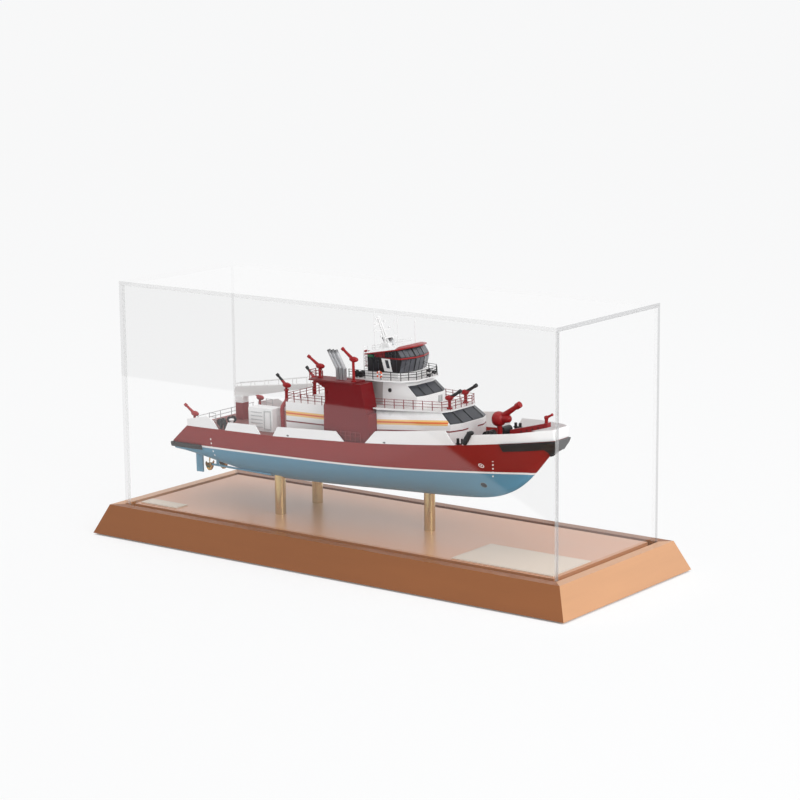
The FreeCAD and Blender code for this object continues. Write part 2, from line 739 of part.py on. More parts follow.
def railing(path, foot, rise, pitch=11.0):
    """Stanchions along a path with three bars through them."""
    thick = float(mm.rail_bar)
    bars = []
    for (x_a, y_a), (x_b, y_b) in zip(path, path[1:]):
        run = math.hypot(x_b - x_a, y_b - y_a)
        count = max(1, round(run / pitch))
        for index in range(count + 1):
            part = index / count
            x = x_a + (x_b - x_a) * part
            y = y_a + (y_b - y_a) * part
            bars.append(beam((x, y, foot), (x, y, foot + rise), thick))
        for height in (0.36, 0.68, 0.955):
            level = foot + rise * height
            bars.append(beam((x_a, y_a, level), (x_b, y_b, level), 0.8 * thick))
    return bars[0].multiFuse(bars[1:])


rail_rise = float(mm.rail_rise)
boat_edge = lip - 1.5
boat_side = [(31, 0.4 - boat_edge), (110.6, 16.8 - boat_edge), (114.8, 26.5 - boat_edge)]
boat_path = boat_side + [(x, -y) for x, y in boat_side[::-1]]
aboard(formed("boat_deck_railing", railing(boat_path, boat_deck_top, rail_rise)))
bridge_edge = bridge_half - 1.5
bridge_side = [(-12, -bridge_edge), (33, -bridge_edge)]
bridge_side += [(57.3, 4.6 - bridge_edge), (68.6, 18.8 - bridge_edge)]
bridge_path = bridge_side + [(x, -y) for x, y in bridge_side[::-1]]
aboard(formed("bridge_railing", railing(bridge_path, bridge_top, 0.9 * rail_rise)))
after_end = -33 - float(mm.aft_house_length) + 1.5
after_top = deck + float(mm.aft_house_rise)
after_edge = house_half - 1.5
after_path = [(-36, -after_edge), (after_end, -after_edge), (after_end, after_edge), (-36, after_edge)]
platform_edge = casing_inner + float(mm.casing_width) + 1
gangway = 0.5 * float(mm.hull_beam) - 3.2
fences = [railing(after_path, after_top, rail_rise)]
for side in (-1, 1):
    outer, inner = side * platform_edge, side * (casing_inner + 1)
    platform_path = [(-30, outer), (-49, outer), (-49, inner)]
    fences.append(railing(platform_path, float(platform_top), rail_rise))
    fences.append(railing([(-7, side * gangway), (21, side * gangway)], deck, 1.4 * rail_rise, 7))
aboard(formed("after_railings", Part.makeCompound(fences)))

# Ladder on the after side of the wheelhouse.
rungs = []
ladder_top = eave_at(3) - 0.4
for y in (-24, -18):
    rungs.append(beam((5.2, y, bridge_top), (5.2, y, ladder_top), 0.9))
for step in range(int((ladder_top - bridge_top) / 3.1)):
    height = bridge_top + 2 + 3.1 * step
    rungs.append(beam((5.2, -24, height), (5.2, -18, height), 0.8))
aboard(formed("ladder", rungs[0].multiFuse(rungs[1:])))


def water_cannon(foot, rise, yaw, pitch, bore):
    """A water cannon: column, round swivel and a tapered barrel."""
    foot = Vector(*foot)
    head = foot + Vector(0, 0, rise)
    column = Part.makeCylinder(0.8 * bore, rise, foot)
    flange = Part.makeCylinder(1.5 * bore, 0.8 * bore, foot)
    swivel = Part.makeSphere(1.35 * bore, head)
    turn, tilt = math.radians(yaw), math.radians(pitch)
    aim = Vector(math.cos(tilt) * math.cos(turn), math.cos(tilt) * math.sin(turn), math.sin(tilt))
    barrel = Part.makeCone(bore, 0.7 * bore, 8.6 * bore, head, aim)
    muzzle = Part.makeCylinder(bore, 1.6 * bore, head + aim * (7.6 * bore), aim)
    return column.multiFuse([flange, swivel, barrel, muzzle]).removeSplitter()


foredeck = float(mm.foredeck_rise)
stand = float(platform_top)
CANNONS = {
    "cannon_foredeck": [((166, 0, foredeck), 22, 0, 33, 3.6)],
    "cannons_boat_deck": [
        ((109.8, -15, boat_deck_top), 12, -8, 30, 2.2),
        ((104, 23.5, boat_deck_top), 12, -8, 30, 2.2),
    ],
    "cannons_platform": [
        ((-43, -52, stand), 13, 190, 38, 2.0),
        ((-43, 52, stand), 13.5, 170, 0, 2.0),
        ((8.5, -56, stand), 25, 190, 42, 2.0),
        ((8.5, 56, stand), 18, 170, 5, 2.0),
    ],
    "cannons_stern": [((-228.5, -59.5, deck), 14, 180, 35, 1.9), ((-228.5, 59.5, deck), 14, 180, 35, 1.9)],
}
for label, members in CANNONS.items():
    aboard(formed(label, Part.makeCompound([water_cannon(*member) for member in members])))

# Riser pipes behind the after house, each carrying a cannon.
risers = []
riser_heads = []
for word, x, y in (("starboard", -38, -40), ("port", -40, 14)):
    riser = cylinder("riser_" + word, mm.riser_diameter, mm.riser_rise)
    aboard(riser, x - mm.aft_house_length, y, mm.deck_rise)
    risers.append(riser)
    top_of_riser = (x - float(mm.aft_house_length), y, deck + float(mm.riser_rise))
    riser_heads.append(water_cannon(top_of_riser, 6, 180 - math.copysign(6, y), 45, 1.9))
for word, side in (("starboard", -1), ("port", 1)):
    stub = cylinder("stub_" + word, mm.riser_diameter, mm.casing_rise - mm.aft_house_rise)
    aboard(stub, -41, side * (mm.house_width / 2 - 4), mm.deck_rise + mm.aft_house_rise)
    risers.append(stub)
gathered("riser_pipes", risers)
aboard(formed("cannons_riser", Part.makeCompound(riser_heads)))

# Mast: two raked legs with arms and a radar bar, on the wheelhouse roof. It and the
# aerials stop short of the cover's top sheet.
rigging_top = float(deck_top + mm.cover_height - mm.cover_sheet - mm.mast_headroom - keel_height)
mast_foot = roof_at(14)
mast_rise = 0.755 * (rigging_top - mast_foot)
mast_rake = 13.6
pole = Part.makeBox(8, 8, 7, Vector(10, -4, mast_foot - 2))
crown = Part.makeBox(120, 80, 40, Vector(-30, -40, -40))
roof_slope = Rotation(Vector(0, -1, 0), math.degrees(math.atan(roof_pitch)))
crown.Placement = Placement(Vector(0, 0, roof_at(0)), roof_slope)
legs = [beam((15, y, mast_foot + 2), (2, 0.4 * y, mast_foot + mast_rise), 1.7) for y in (-2.4, 2.4)]
arms = []
for share, half in ((0.353, 7), (0.559, 15), (0.765, 10), (0.941, 5)):
    x, height = 15 - mast_rake * share, mast_foot + mast_rise * share
    arms.append(beam((x, -half, height), (x, half, height), 1.2))
radar_foot = mast_foot + 0.353 * mast_rise
radar = Part.makeBox(2.4, 24, 1.6, Vector(17.5, -12, radar_foot - 0.6))
bracket = beam((10, 0, radar_foot), (19, 0, radar_foot), 1.6)
aboard(formed("mast", pole.multiFuse(legs + arms + [radar, bracket]).cut(crown)))

# Whip aerials on the roof, their feet cut to its slope.
whips = []
for x, y, share in ((12, -20, 1.0), (14, 20, 1.0), (40, -20, 0.76), (46, 10, 0.65)):
    height = share * (rigging_top - roof_at(x))
    whip = Part.makeCylinder(float(mm.whip_diameter) / 2, height + 1, Vector(x, y, roof_at(x) - 1))
    whips.append(whip.cut(crown))
aboard(formed("whip_aerials", Part.makeCompound(whips)))

# Deck crane: a square pedestal and a box boom laid forward over the after deck.
pedestal = block("crane_pedestal", mm.pedestal_width, mm.pedestal_width, mm.pedestal_rise)
named(pedestal, "crane_pedestal")
aboard(pedestal, -211, -mm.pedestal_width / 2, mm.deck_rise)
crane = padded(
    "crane_boom",
    "XZ_Plane",
    [(-214, 0), (-198, 0), (-100, 18), (-100, 23), (-212, 11)],
    mm.crane_width,
)
aboard(crane, 0, mm.crane_width / 2, mm.deck_rise + mm.pedestal_rise)

# Deck locker, and the fittings on the fore deck.
locker = named(block("deck_locker", mm.locker_length, mm.locker_width, mm.locker_rise), "deck_locker")
aboard(locker, -153, -50, mm.deck_rise)
BOW_BOOM = [(182, 0), (190, 0), (190, 7), (231, 18), (231, 23), (182, 11)]
bow_boom = padded("bow_boom", "XZ_Plane", BOW_BOOM, sized(7))
aboard(bow_boom, 0, 3.5, mm.foredeck_rise)
bedplate = Part.makeBox(12, 50, 2, Vector(157, -25, foredeck))
drum = Part.makeCylinder(4.6, 46, Vector(163, -23, foredeck + 6.2), Vector(0, 1, 0))
windlass_gap = Part.makeBox(30, 16, 30, Vector(150, -8, foredeck - 1))
aboard(formed("windlass", Part.makeCompound(bedplate.fuse(drum).cut(windlass_gap).Solids)))


def bitt(x, y, foot, rise):
    """A pair of posts with a cross bar."""
    posts = [Part.makeCylinder(1.6, rise, Vector(x + shift, y, foot)) for shift in (-3, 3)]
    bar = Part.makeCylinder(1.0, 11, Vector(x - 5.5, y, foot + 0.62 * rise), Vector(1, 0, 0))
    return posts[0].multiFuse([posts[1], bar])


BITTS = [(-183, 61.2, deck, 12), (142, 41.5, deck, 16), (172, 27, foredeck, 13)]
pairs = [bitt(x, side * y, foot, rise) for x, y, foot, rise in BITTS for side in (-1, 1)]
aboard(formed("bitts", Part.makeCompound(pairs)))

# Stern gear: four screws on shafts with struts, and two rudders.
radius = float(mm.propeller_radius)
wheels = []
shafts = []
rudders = []
gear = lines
for y, hub in ((-46, 12.0), (-21, 9.2), (21, 9.2), (46, 12.0)):
    boss = Part.makeCone(1.6, 2.2, 6, Vector(-222, y, hub), Vector(1, 0, 0))
    blades = []
    for turn in range(4):
        blade = Part.makeBox(0.9, 4.6, radius, Vector(-0.45, -2.3, 0))
        blade.rotate(Vector(), Vector(0, 0, 1), 32)
        blade.rotate(Vector(), Vector(1, 0, 0), 90 * turn + 20)
        blade.translate(Vector(-219, y, hub))
        blades.append(blade)
    wheels.append(boss.multiFuse(blades))
    shaft = Part.makeCylinder(float(mm.shaft_diameter) / 2, 90, Vector(-216, y, hub), Vector(1, 0, -0.035))
    strut = Part.makeBox(4, 1.2, 14, Vector(-209, y - 0.6, hub))
    shafts.append(max(shaft.fuse(strut).cut(gear).Solids, key=lambda solid: solid.BoundBox.XLength))
for y in (-46, 46):
    plate_form = Part.makeBox(float(mm.rudder_length), float(mm.rudder_sheet), 30, Vector(-240, y - 1, 1.5))
    rudders.append(min(plate_form.cut(gear).Solids, key=lambda solid: solid.CenterOfMass.z))
aboard(formed("propellers", Part.makeCompound(wheels)))
aboard(formed("shafts", Part.makeCompound(shafts)))
aboard(formed("rudders", Part.makeCompound(rudders)))

doc.recompute()
faults = [obj.Name for obj in doc.Objects if {"Invalid", "Error"} & set(obj.State)]
faults += [piece.Label for piece in pieces if piece.Shape.isNull() or not piece.Shape.isValid()]
if faults:
    raise RuntimeError("not built: " + ", ".join(faults))

os.makedirs("parts", exist_ok=True)
for piece in pieces:
    piece.Shape.exportStep("parts/%s.step" % piece.Label)
    print(piece.Label, len(piece.Shape.Solids), round(piece.Shape.Volume))
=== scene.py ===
import math

import bmesh
import bpy
from mathutils import Matrix, Vector


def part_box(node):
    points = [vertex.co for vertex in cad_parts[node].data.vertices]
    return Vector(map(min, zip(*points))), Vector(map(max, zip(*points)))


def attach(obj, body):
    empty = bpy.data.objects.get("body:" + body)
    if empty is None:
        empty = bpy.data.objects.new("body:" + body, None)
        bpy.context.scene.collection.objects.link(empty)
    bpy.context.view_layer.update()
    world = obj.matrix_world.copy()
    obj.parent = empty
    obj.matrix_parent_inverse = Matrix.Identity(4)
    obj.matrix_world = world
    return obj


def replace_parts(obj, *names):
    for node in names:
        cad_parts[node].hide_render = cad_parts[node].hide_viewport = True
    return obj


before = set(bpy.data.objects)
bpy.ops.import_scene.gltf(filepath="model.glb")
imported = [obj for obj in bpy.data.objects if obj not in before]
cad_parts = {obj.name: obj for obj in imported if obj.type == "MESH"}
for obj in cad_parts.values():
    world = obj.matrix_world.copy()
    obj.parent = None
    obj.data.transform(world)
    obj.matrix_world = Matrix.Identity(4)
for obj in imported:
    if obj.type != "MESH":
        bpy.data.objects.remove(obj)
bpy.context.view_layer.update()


# The table and its light: a pale sheet in a white room, with one large lamp to the right
# and a softer one overhead. In mirrors the sheet ends a little way in front of the case and
# the floor beyond it is dark, so the cover's front shows the sheet in its lower half only.
def tint(red, green, blue):
    """A colour as it is seen, from 0 to 255, turned into the light that paint throws back."""
    shares = [part / 255 for part in (red, green, blue)]
    light = [s / 12.92 if s <= 0.04045 else ((s + 0.055) / 1.055) ** 2.4 for s in shares]
    return (*light, 1.0)


class Wire:
    """One socket of a finish's nodes. Sums on it add Math nodes."""

    def __init__(self, tree, socket=None):
        self.tree = tree
        self.socket = socket

    def add(self, kind, settings=None, sockets=None, out=0):
        """Any node, from its settings and the values or wires of its sockets."""
        node = self.tree.nodes.new(kind)
        for name, value in (settings or {}).items():
            setattr(node, name, value)
        for name, value in (sockets or {}).items():
            if isinstance(value, Wire):
                self.tree.links.new(value.socket, node.inputs[name])
            else:
                node.inputs[name].default_value = value
        return Wire(self.tree, node.outputs[out])

    def sum(self, operation, *parts):
        return self.add("ShaderNodeMath", {"operation": operation}, dict(enumerate(parts)))

    def __add__(self, other):
        return self.sum("ADD", self, other)

    def __sub__(self, other):
        return self.sum("SUBTRACT", self, other)

    def __rsub__(self, other):
        return self.sum("SUBTRACT", other, self)

    def __mul__(self, other):
        return self.sum("MULTIPLY", self, other)

    def __abs__(self):
        return self.sum("ABSOLUTE", self)

    __radd__ = __add__
    __rmul__ = __mul__

    def larger(self, other):
        return self.sum("MAXIMUM", self, other)

    def smaller(self, other):
        return self.sum("MINIMUM", self, other)

    def fraction(self):
        return self.sum("FRACT", self)

    def above(self, edge, blur):
        """0 below the edge and 1 above it, with a soft step between."""
        settings = {"operation": "MULTIPLY_ADD", "use_clamp": True}
        return self.add("ShaderNodeMath", settings, {0: self, 1: 1 / blur, 2: 0.5 - edge / blur})

    def below(self, edge, blur):
        return 1 - self.above(edge, blur)

    def between(self, low, high, blur):
        return self.above(low, blur) * self.below(high, blur)

    def shade(self, first, second):
        """The first colour where this mask is 0 and the second where it is 1."""
        return self.add("ShaderNodeMix", {"data_type": "RGBA"}, {0: self, 6: first, 7: second}, out=2)

    def split(self):
        """The three parts of a vector."""
        node = self.add("ShaderNodeSeparateXYZ", sockets={0: self}).socket.node
        return [Wire(self.tree, socket) for socket in node.outputs]

    def to(self, socket):
        self.tree.links.new(self.socket, socket)


TABLE_HALF = 40
SHEET_FRONT, SHEET_SLANT, SHEET_CORNER = -0.865, 0.79, -0.497
table_corners = [(x * TABLE_HALF, y * TABLE_HALF, 0) for x, y in ((-1, -1), (1, -1), (1, 1), (-1, 1))]
table_mesh = bpy.data.meshes.new("table")
table_mesh.from_pydata(table_corners, [], [(0, 1, 2, 3)])
table = bpy.data.objects.new("table", table_mesh)
bpy.context.collection.objects.link(table)
pale_sheet = bpy.data.materials.new("pale_sheet")
pale_sheet.use_nodes = True
sheet = Wire(pale_sheet.node_tree)
sheet_x, sheet_y = sheet.add("ShaderNodeTexCoord", out="Object").split()[:2]
past_front = sheet_y.below(SHEET_FRONT, 0.01)
past_slant = (sheet_y - sheet_x * SHEET_SLANT).below(SHEET_CORNER, 0.012)
camera_rays = sheet.add("ShaderNodeLightPath", out="Is Camera Ray")
glossy_rays = sheet.add("ShaderNodeLightPath", out="Is Glossy Ray")
pale, dark = (0.955, 0.957, 0.96, 1), (0.04, 0.04, 0.04, 1)
sheet_colour = (past_front.larger(past_slant) * glossy_rays).shade(pale, dark)
sheet_paper = sheet.add("ShaderNodeBsdfDiffuse", sockets={"Color": sheet_colour})
sheet_glow = sheet.add("ShaderNodeEmission", sockets={"Color": sheet_colour, "Strength": 1.0})
# Near the case the sheet's glow fades with ambient occlusion: a painted contact shadow.
open_sky = sheet.add("ShaderNodeAmbientOcclusion", {"samples": 8}, {"Distance": 0.11}, out="AO")
seen = camera_rays.larger(glossy_rays) * (0.1 + 0.8 * open_sky)
sheet_look = sheet.add("ShaderNodeMixShader", sockets={0: seen, 1: sheet_paper, 2: sheet_glow})
sheet_look.to(pale_sheet.node_tree.nodes["Material Output"].inputs["Surface"])
table_mesh.materials.append(pale_sheet)

room = bpy.data.worlds.new("white_room")
bpy.context.scene.world = room
room.use_nodes = True
air = Wire(room.node_tree)
room_rays = air.add("ShaderNodeLightPath", out="Is Camera Ray")
room_glossy = air.add("ShaderNodeLightPath", out="Is Glossy Ray")
room_level = 0.8 + 0.18 * room_rays.larger(room_glossy)
room_look = air.add("ShaderNodeBackground", sockets={"Color": (1, 1, 1, 1), "Strength": room_level})
room_look.to(room.node_tree.nodes["World Output"].inputs["Surface"])

for name, place, aim, span, power in (
    ("side_lamp", (2.1, -0.55, 1.15), (0.1, 0, 0.12), 1.3, 24.0),
    ("top_lamp", (0.1, 0.2, 2.3), (0, 0, 0.1), 1.6, 11.0),
):
    lamp = bpy.data.lights.new(name, "AREA")
    lamp.size = span
    lamp.energy = power
    lamp_object = bpy.data.objects.new(name, lamp)
    bpy.context.collection.objects.link(lamp_object)
    lamp_object.location = place
    lamp_object.rotation_euler = (Vector(aim) - Vector(place)).to_track_quat("-Z", "Y").to_euler()

eye = Vector((1.6377, -2.1435, 0.7006))
look_at = Vector((0.02749, 0.0, 0.18119))
roll = math.radians(-0.492)
camera = bpy.data.cameras.new("camera")
camera.sensor_width = 36.0
camera.lens = 108.794
camera_object = bpy.data.objects.new("camera", camera)
bpy.context.collection.objects.link(camera_object)
turn = (look_at - eye).to_track_quat("-Z", "Y").to_matrix().to_4x4()
camera_object.matrix_world = Matrix.Translation(eye) @ turn @ Matrix.Rotation(roll, 4, "Z")
bpy.context.scene.camera = camera_object
bpy.context.scene.view_settings.view_transform = "Standard"


# Plinth rails: four mitred lengths of close-grained wood under a sprayed tan lacquer with
# a satin sheen. The grain only shows as a faint streak along each rail.
def sprayed(name, colour, marks=None, rough=0.38, drift=0.05, streaks=(1, 1, 1), peel=0.04, **constants):
    """A sprayed finish: its colour drifts a little, its sheen is uneven and it has a fine peel.
    Marks are masks with the colour that is laid over the coat there."""
    finish = bpy.data.materials.new(name)
    finish.use_nodes = True
    coat = Wire(finish.node_tree)
    shader = finish.node_tree.nodes["Principled BSDF"]
    for socket, value in constants.items():
        shader.inputs[socket.replace("_", " ")].default_value = value
    place = coat.add("ShaderNodeTexCoord", out="Object")
    along = coat.add("ShaderNodeVectorMath", {"operation": "MULTIPLY"}, {0: place, 1: streaks})
    clouds = {"Vector": along, "Scale": 45.0, "Detail": 4.0, "Roughness": 0.6}
    cloud = coat.add("ShaderNodeTexNoise", sockets=clouds)
    deep = tuple(part * (1 - 2 * drift) for part in colour[:3]) + (1,)
    light = tuple(min(1, part * (1 + drift)) for part in colour[:3]) + (1,)
    body = cloud.shade(deep, light)
    for mask, mark in (marks(coat) if marks else ()):
        body = mask.shade(body, mark)
    body.to(shader.inputs["Base Color"])
    (rough - 0.06 + 0.12 * cloud).to(shader.inputs["Roughness"])
    pores = coat.add("ShaderNodeTexNoise", sockets={"Vector": along, "Scale": 900.0, "Detail": 2.0})
    peeled = {"Strength": peel, "Distance": 0.0004, "Height": pores}
    coat.add("ShaderNodeBump", sockets=peeled, out="Normal").to(shader.inputs["Normal"])
    return finish


def dress(finish, *nodes):
    """Gives CAD nodes their finish."""
    for node in nodes:
        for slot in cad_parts[node].material_slots:
            slot.material = finish


# One tan lacquer given twice: darker on the long front and back rails as painted shade, and lighter on the
# end rails as painted light from the side lamp.
shaded_long_tan = sprayed("tan_lacquer_painted_shade", tint(143, 87, 47), rough=0.42, drift=0.07, streaks=(0.12, 1, 1),
                   Specular_IOR_Level=0.35)
lit_short_tan = sprayed("tan_lacquer_painted_light", tint(201, 149, 108), rough=0.36, drift=0.07, streaks=(1, 0.12, 1))
dress(shaded_long_tan, "base_rail_front", "base_rail_back")
dress(lit_short_tan, "base_rail_left", "base_rail_right")

# Floor board and felt pads: thin board let into the rails from below, and four round
# pads stuck to it so that the case does not mark the table.
bare_board = sprayed("floor_board", tint(140, 108, 82), rough=0.7, drift=0.12, streaks=(0.1, 1, 1), peel=0.2)
dress(bare_board, "base_floor")
dress(sprayed("felt", tint(38, 36, 34), rough=0.95, drift=0.25, peel=0.9), "foot_pads")

# Deck panel: a board with the rails' tan lacquer, rubbed to a higher sheen, so it
# mirrors the room softly. It is drilled for the three posts.
dress(sprayed("deck_lacquer", tint(190, 134, 98), rough=0.36, drift=0.03, streaks=(0.15, 1, 1), peel=0.008,
              Coat_Weight=0.2, Coat_Roughness=0.22), "deck_panel")


# Posts: turned brass tubes, polished, with the faint rings of the lathe. A steel screw
# runs up through each one into the hull, held by a nut under the deck panel.
def bare_metal(name, colour, rough, lathe):
    """Metal with tool marks, which run the way that the lathe's vector stretches them."""
    finish = bpy.data.materials.new(name)
    finish.use_nodes = True
    metal = Wire(finish.node_tree)
    shader = finish.node_tree.nodes["Principled BSDF"]
    shader.inputs["Metallic"].default_value = 1.0
    place = metal.add("ShaderNodeTexCoord", out="Object")
    rings = metal.add("ShaderNodeVectorMath", {"operation": "MULTIPLY"}, {0: place, 1: lathe})
    marks = metal.add("ShaderNodeTexNoise", sockets={"Vector": rings, "Scale": 400.0, "Detail": 3.0})
    tarnish = metal.add("ShaderNodeTexNoise", sockets={"Vector": place, "Scale": 60.0, "Detail": 5.0})
    dull = tuple(part * 0.82 for part in colour[:3]) + (1,)
    tarnish.shade(dull, colour).to(shader.inputs["Base Color"])
    (rough - 0.05 + 0.12 * marks).to(shader.inputs["Roughness"])
    scored = {"Strength": 0.05, "Distance": 0.0003, "Height": marks}
    metal.add("ShaderNodeBump", sockets=scored, out="Normal").to(shader.inputs["Normal"])
    return finish


brass = bare_metal("turned_brass", tint(214, 184, 130), 0.24, (0.3, 0.3, 4))
dress(brass, "post_aft_starboard", "post_aft_port", "post_forward")
dress(bare_metal("screw_steel", tint(176, 178, 182), 0.35, (1, 1, 6)), "post_screws", "post_nuts")


# Label plates: two pale satin plates laid on the deck panel, with a thin scored line just
# inside the edge.
def plate_lines(node):
    """The scored line of one plate, in metres from its edge."""
    low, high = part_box(node)
    middle, half = (low + high) / 2, (high - low) / 2

    def lines(coat):
        x, y = coat.add("ShaderNodeTexCoord", out="Object").split()[:2]
        inside = (half.x - abs(x - middle.x)).smaller(half.y - abs(y - middle.y))
        return [(inside.between(0.0021, 0.0026, 0.0002), tint(150, 138, 122))]

    return lines


for node in ("label_plate_title", "label_plate_note"):
    dress(sprayed(node + "_satin", tint(206, 190, 173), plate_lines(node), rough=0.42, drift=0.03), node)


# Hull: cast and sanded, sprayed blue below the waterline and dark red above it, with a
# white line between. White ticks stand at bow and stern, and a tunnel crosses the bow; its
# mouth is a pale rim round a dark disc of painted shade.
TRIM = math.radians(1.35)
KEEL = 77.8
SHIP = Matrix.Translation((0, 0, KEEL / 1000)) @ Matrix.Rotation(-TRIM, 4, "Y") @ Matrix.Scale(0.001, 4)


def ship_lines(coat):
    """The ship's own measures at a point, in millimetres: along, across and up from the keel."""
    x, y, z = (part * 1000 for part in coat.add("ShaderNodeTexCoord", out="Object").split())
    rise = z - KEEL
    return x * math.cos(TRIM) + rise * math.sin(TRIM), y, rise * math.cos(TRIM) - x * math.sin(TRIM)


def facing(coat):
    """Which way the surface looks: forward, to the side and up."""
    return coat.add("ShaderNodeNewGeometry", out="Normal").split()


def away(x, y):
    """How far a point lies from a centre, by its two offsets."""
    square = x * x + y * y
    return square.sum("SQRT", square)


white = tint(236, 236, 236)
red = tint(150, 20, 24)
black = tint(24, 24, 26)
hull_red = tint(136, 27, 23)
hull_blue = tint(92, 145, 172)
WATERLINE, LINE_LOW, LINE_HIGH = 36.4, 35.4, 37.7
TICKS_A_MM, TICK_HALF = 0.2, 0.8
STEM_FOOT, STEM_RAKE, STERN_TICKS = 153.2, 0.43, -199.5


def hull_marks(coat):
    along, across, height = ship_lines(coat)
    tick = (height * TICKS_A_MM).fraction().between(0.2, 0.6, 0.06)
    off_bow, off_stern = abs(along - STEM_FOOT - height * STEM_RAKE), abs(along - STERN_TICKS)
    bow_ticks = off_bow.below(TICK_HALF, 0.2) * height.between(28, 52, 0.2)
    stern_ticks = off_stern.below(TICK_HALF, 0.2) * height.between(24, 48, 0.2)
    tunnel = away(along - 152, (height - 19.8) * 1.1)
    sign = away(along - 160.6, height - 45.6)
    return [
        (height.below(WATERLINE, 0.2), hull_blue),
        (height.between(LINE_LOW, LINE_HIGH, 0.2), white),
        ((bow_ticks + stern_ticks) * tick, white),
        (tunnel.below(3.9, 0.3), tint(120, 150, 160)),
        # Painted shade: the dark disc inside the rim stands for the shade in the tunnel.
        (tunnel.below(3.3, 0.3), tint(52, 62, 68)),
        (sign.between(1.9, 2.8, 0.2) + sign.below(0.9, 0.2), white),
    ]


dress(sprayed("hull_paint", hull_red, hull_marks, rough=0.34, drift=0.03, peel=0.03,
              Specular_IOR_Level=0.25), "hull")

# Ship's decks: thin sheets let into the hull, painted a dull red-brown with grit in the
# paint.
dress(sprayed("deck_paint", tint(126, 70, 64), rough=0.75, drift=0.1, peel=0.5), "main_deck", "fore_deck")


# Bulwarks: thin white-painted sides above the red, with a small oval port low down in
# the long lengths, painted as a dark grey oval of shade. Black rubber fenders are stuck round the bow and
# the stern.
BULWARK_PORTS = ((-81.5, 62.5), (56, 67.5))


def bulwark_marks(coat):
    along, across, height = ship_lines(coat)
    aft, fore = [away((along - x) * 0.55, height - z).below(1.0, 0.2) for x, z in BULWARK_PORTS]
    # Painted shade: each port is a dark grey oval that stands for the shade in the opening.
    return [(aft + fore, tint(70, 72, 76))]


gloss_white = sprayed("white_paint", white, rough=0.34, drift=0.02)
dress(sprayed("bulwark_white", white, bulwark_marks, rough=0.36, drift=0.02), "bulwarks")
rubber = sprayed("rubber", tint(30, 30, 32), rough=0.6, drift=0.15, peel=0.25)
dress(rubber, "bow_fender", "stern_fender")


# Fairlead: a black cast roller with a hooked head, glued to the sloped after end of the
# starboard bow plating, in the gap of the bulwark.
def skin(shape, loops, ring=False):
    """Faces from each loop of corners to the next. A ring's last loop joins its first, and any
    other form is capped at both ends."""
    following = loops[1:] + loops[:1] if ring else loops[1:]
    for first, second in zip(loops, following):
        for index in range(len(first)):
            after = (index + 1) % len(first)
            shape.faces.new((first[index], first[after], second[after], second[index]))
    if not ring:
        shape.faces.new(loops[0][::-1])
        shape.faces.new(loops[-1])


def circle(radius, far, steps):
    """Points round a circle that looks along the third axis, some way along it."""
    angles = [2 * math.pi * step / steps for step in range(steps)]
    return [Vector((radius * math.cos(angle), radius * math.sin(angle), far)) for angle in angles]


def turned(shape, start, way, profile, steps=18):
    """A lathe-turned form: rings given by their distance along a line and their radius."""
    place = Matrix.Translation(start) @ Vector(way).to_track_quat("Z", "Y").to_matrix().to_4x4()
    loops = []
    for far, radius in profile:
        loops.append([shape.verts.new(place @ spot) for spot in circle(radius, far, steps)])
    skin(shape, loops)


def bar(shape, start, stop, thick, steps=8):
    """A drawn bar between two points, with its ends rounded over."""
    way = Vector(stop) - Vector(start)
    nip, half, tip = 0.2 * thick, 0.5 * thick, 0.35 * thick
    turned(shape, start, way, [(0, tip), (nip, half), (way.length - nip, half), (way.length, tip)], steps)


CREASE = math.radians(38)


def fitting(name, finish, shape):
    """A small fitting on the ship. Its form is made in the ship's own millimetres."""
    bmesh.ops.transform(shape, matrix=SHIP, verts=shape.verts)
    bmesh.ops.recalc_face_normals(shape, faces=shape.faces)
    mesh = bpy.data.meshes.new(name)
    shape.to_mesh(mesh)
    shape.free()
    for face in mesh.polygons:
        face.use_smooth = True
    mesh.set_sharp_from_angle(angle=CREASE)
    mesh.materials.append(finish)
    piece = bpy.data.objects.new(name, mesh)
    bpy.context.collection.objects.link(piece)
    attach(piece, "plinth")
    return piece


gear_black = sprayed("gear_black", black, rough=0.45, drift=0.15, peel=0.1)
rollers = bmesh.new()
roller_foot, roller_top = Vector((156.4, -55.0, 73.6)), Vector((165.2, -56.4, 86.0))
ROLLER = [(0, 1.6), (0.8, 2.8), (2, 3.2), (13, 3.2), (14.4, 2.7), (15.4, 1.5)]
HOOK = [(0, 1.6), (0.8, 2.6), (5.5, 2.6), (7.4, 2.0), (8.2, 1.0)]
turned(rollers, roller_foot, roller_top - roller_foot, ROLLER)
turned(rollers, roller_top - Vector((2.5, 0, 0.4)), (1, 0, 0.32), HOOK)
fitting("fairlead", gear_black, rollers)

# Stern gear: four cast brass screws on shafts with struts, the two sides of opposite hand,
# and two rudders, painted as the hull's bottom is.
screw_brass = bare_metal("screw_brass", tint(214, 172, 100), 0.24, (4, 1, 1))
SCREWS = ((-46, 12.0), (-21, 9.2), (21, 9.2), (46, 12.0))
SCREW_HUB = [(0, 0.5), (0.8, 1.2), (2.2, 1.7), (6.4, 2.1), (7.2, 2.0)]
HUB_AFT, BLADES_AT, BLADE_REACH, BLADE_ROOT, SCREW_PITCH = -223.5, -219.6, 7.6, 1.4, 15.0


